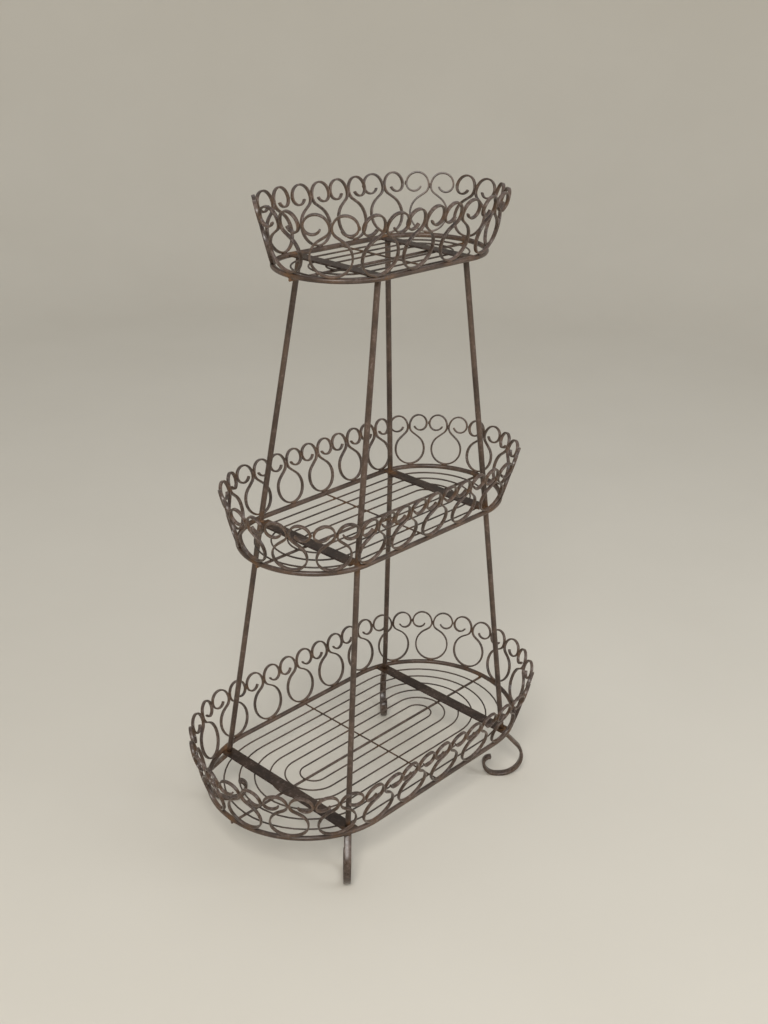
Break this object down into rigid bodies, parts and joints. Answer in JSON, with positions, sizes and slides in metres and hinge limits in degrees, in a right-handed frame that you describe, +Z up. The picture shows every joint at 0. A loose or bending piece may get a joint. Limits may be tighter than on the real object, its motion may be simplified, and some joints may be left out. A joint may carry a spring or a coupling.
{
  "type": "bakers rack",
  "caption": "Tall free-standing wire rack of three oval trays of decreasing size with scrollwork galleries, on leaning round-bar legs with scroll feet.",
  "frame": {"origin": "on the ground, midway between the four feet, under the middle of the trays", "axes": "+Z up; +X along the length of the trays, to the right of someone in front; +Y from the front to the back"},
  "size_m": [0.7486, 0.4216, 1.1424],
  "materials": {
    "bar": "satin dark bronze paint",
    "wire": "satin dark bronze paint",
    "strap": "satin dark bronze paint",
    "scroll": "satin dark bronze paint"
  },
  "bodies": {
    "root": {"bottom_ring": "bar", "bottom_floor_wires": "wire", "bottom_centre_rod": "bar", "bottom_cross_wire": "wire", "bottom_crossbar_left": "strap", "bottom_crossbar_right": "strap", "bottom_gallery_front": "scroll", "bottom_gallery_back": "scroll", "bottom_gallery_left": "scroll", "bottom_gallery_right": "scroll", "middle_ring": "bar", "middle_floor_wires": "wire", "middle_centre_rod": "bar", "middle_cross_wire": "wire", "middle_crossbar_left": "strap", "middle_crossbar_right": "strap", "middle_gallery_front": "scroll", "middle_gallery_back": "scroll", "middle_gallery_left": "scroll", "middle_gallery_right": "scroll", "top_ring": "bar", "top_floor_wires": "wire", "top_centre_rod": "bar", "top_cross_wire": "wire", "top_crossbar_left": "strap", "top_crossbar_right": "strap", "top_gallery_front": "scroll", "top_gallery_back": "scroll", "top_gallery_left": "scroll", "top_gallery_right": "scroll", "leg_front_left": "bar", "foot_front_left": "scroll", "leg_front_right": "bar", "foot_front_right": "scroll", "leg_back_left": "bar", "foot_back_left": "scroll", "leg_back_right": "bar", "foot_back_right": "scroll"}
  },
  "joints": []
}
